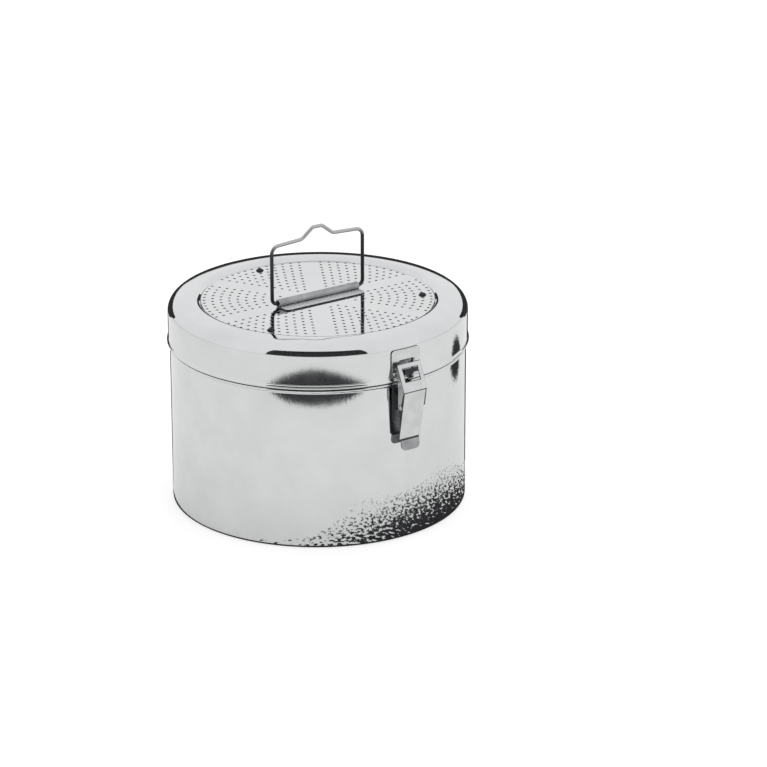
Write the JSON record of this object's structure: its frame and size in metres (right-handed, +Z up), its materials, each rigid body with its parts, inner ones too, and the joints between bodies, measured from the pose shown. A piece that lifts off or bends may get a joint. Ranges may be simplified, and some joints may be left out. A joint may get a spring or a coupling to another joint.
{
  "type": "sterilization container",
  "caption": "Round polished steel sterilizing drum with a hinged perforated lid, filter holder, folding wire handle and toggle latch.",
  "frame": {"origin": "centre of the drum's flat base, on the surface it stands on", "axes": "+Z up along the drum's axis, -Y towards the latch, +Y towards the lid hinge, X along the lid handle"},
  "size_m": [0.2444, 0.2658, 0.23],
  "materials": {
    "shell": "polished stainless sheet",
    "pressed": "pressed and polished stainless sheet",
    "wire": "drawn stainless wire",
    "turned": "turned stainless",
    "stud": "dark stud heads",
    "cloth": "woven filter cloth"
  },
  "bodies": {
    "drum": {"drum_shell": "shell", "latch_bracket": "pressed", "lever_pin": "turned", "drum_hinge_leaf": "pressed", "hinge_pin": "turned", "bracket_rivets": "turned", "drum_leaf_rivets": "turned"},
    "lid": {"lid_shell": "shell", "lid_disc": "shell", "lid_hinge_leaf": "pressed", "catch_hook": "pressed", "handle_strap": "pressed", "filter_studs": "stud", "catch_rivets": "turned", "lid_leaf_rivets": "turned"},
    "handle": {"handle_bail": "wire"},
    "filter": {"filter_cloth": "cloth", "filter_holder": "shell", "filter_nuts": "turned"},
    "lever": {"latch_lever": "pressed"},
    "link": {"latch_link": "pressed", "link_rivets": "turned"}
  },
  "joints": [
    {"name": "lid_hinge", "type": "hinge", "parent": "drum", "child": "lid", "pos_m": [0, 0.1275, 0.133], "axis": [-1, 0, 0], "range_deg": [0, 105]},
    {"name": "handle_fold", "type": "hinge", "parent": "lid", "child": "handle", "pos_m": [0, 0, 0.1708], "axis": [1, 0, 0], "range_deg": [-88, 88]},
    {"name": "filter_release", "type": "slide", "parent": "lid", "child": "filter", "axis": [0, 0, -1], "range_m": [0, 0.016]},
    {"name": "latch_lever", "type": "hinge", "parent": "drum", "child": "lever", "pos_m": [0, -0.1302, 0.1262], "axis": [-1, 0, 0], "range_deg": [0, 120]},
    {"name": "latch_link", "type": "hinge", "parent": "lever", "child": "link", "pos_m": [0, -0.1296, 0.1163], "axis": [-1, 0, 0], "range_deg": [-132, 0]}
  ],
  "couplings": [
    {"joint": "latch_link", "follows": "latch_lever", "ratio": -1.1}
  ]
}
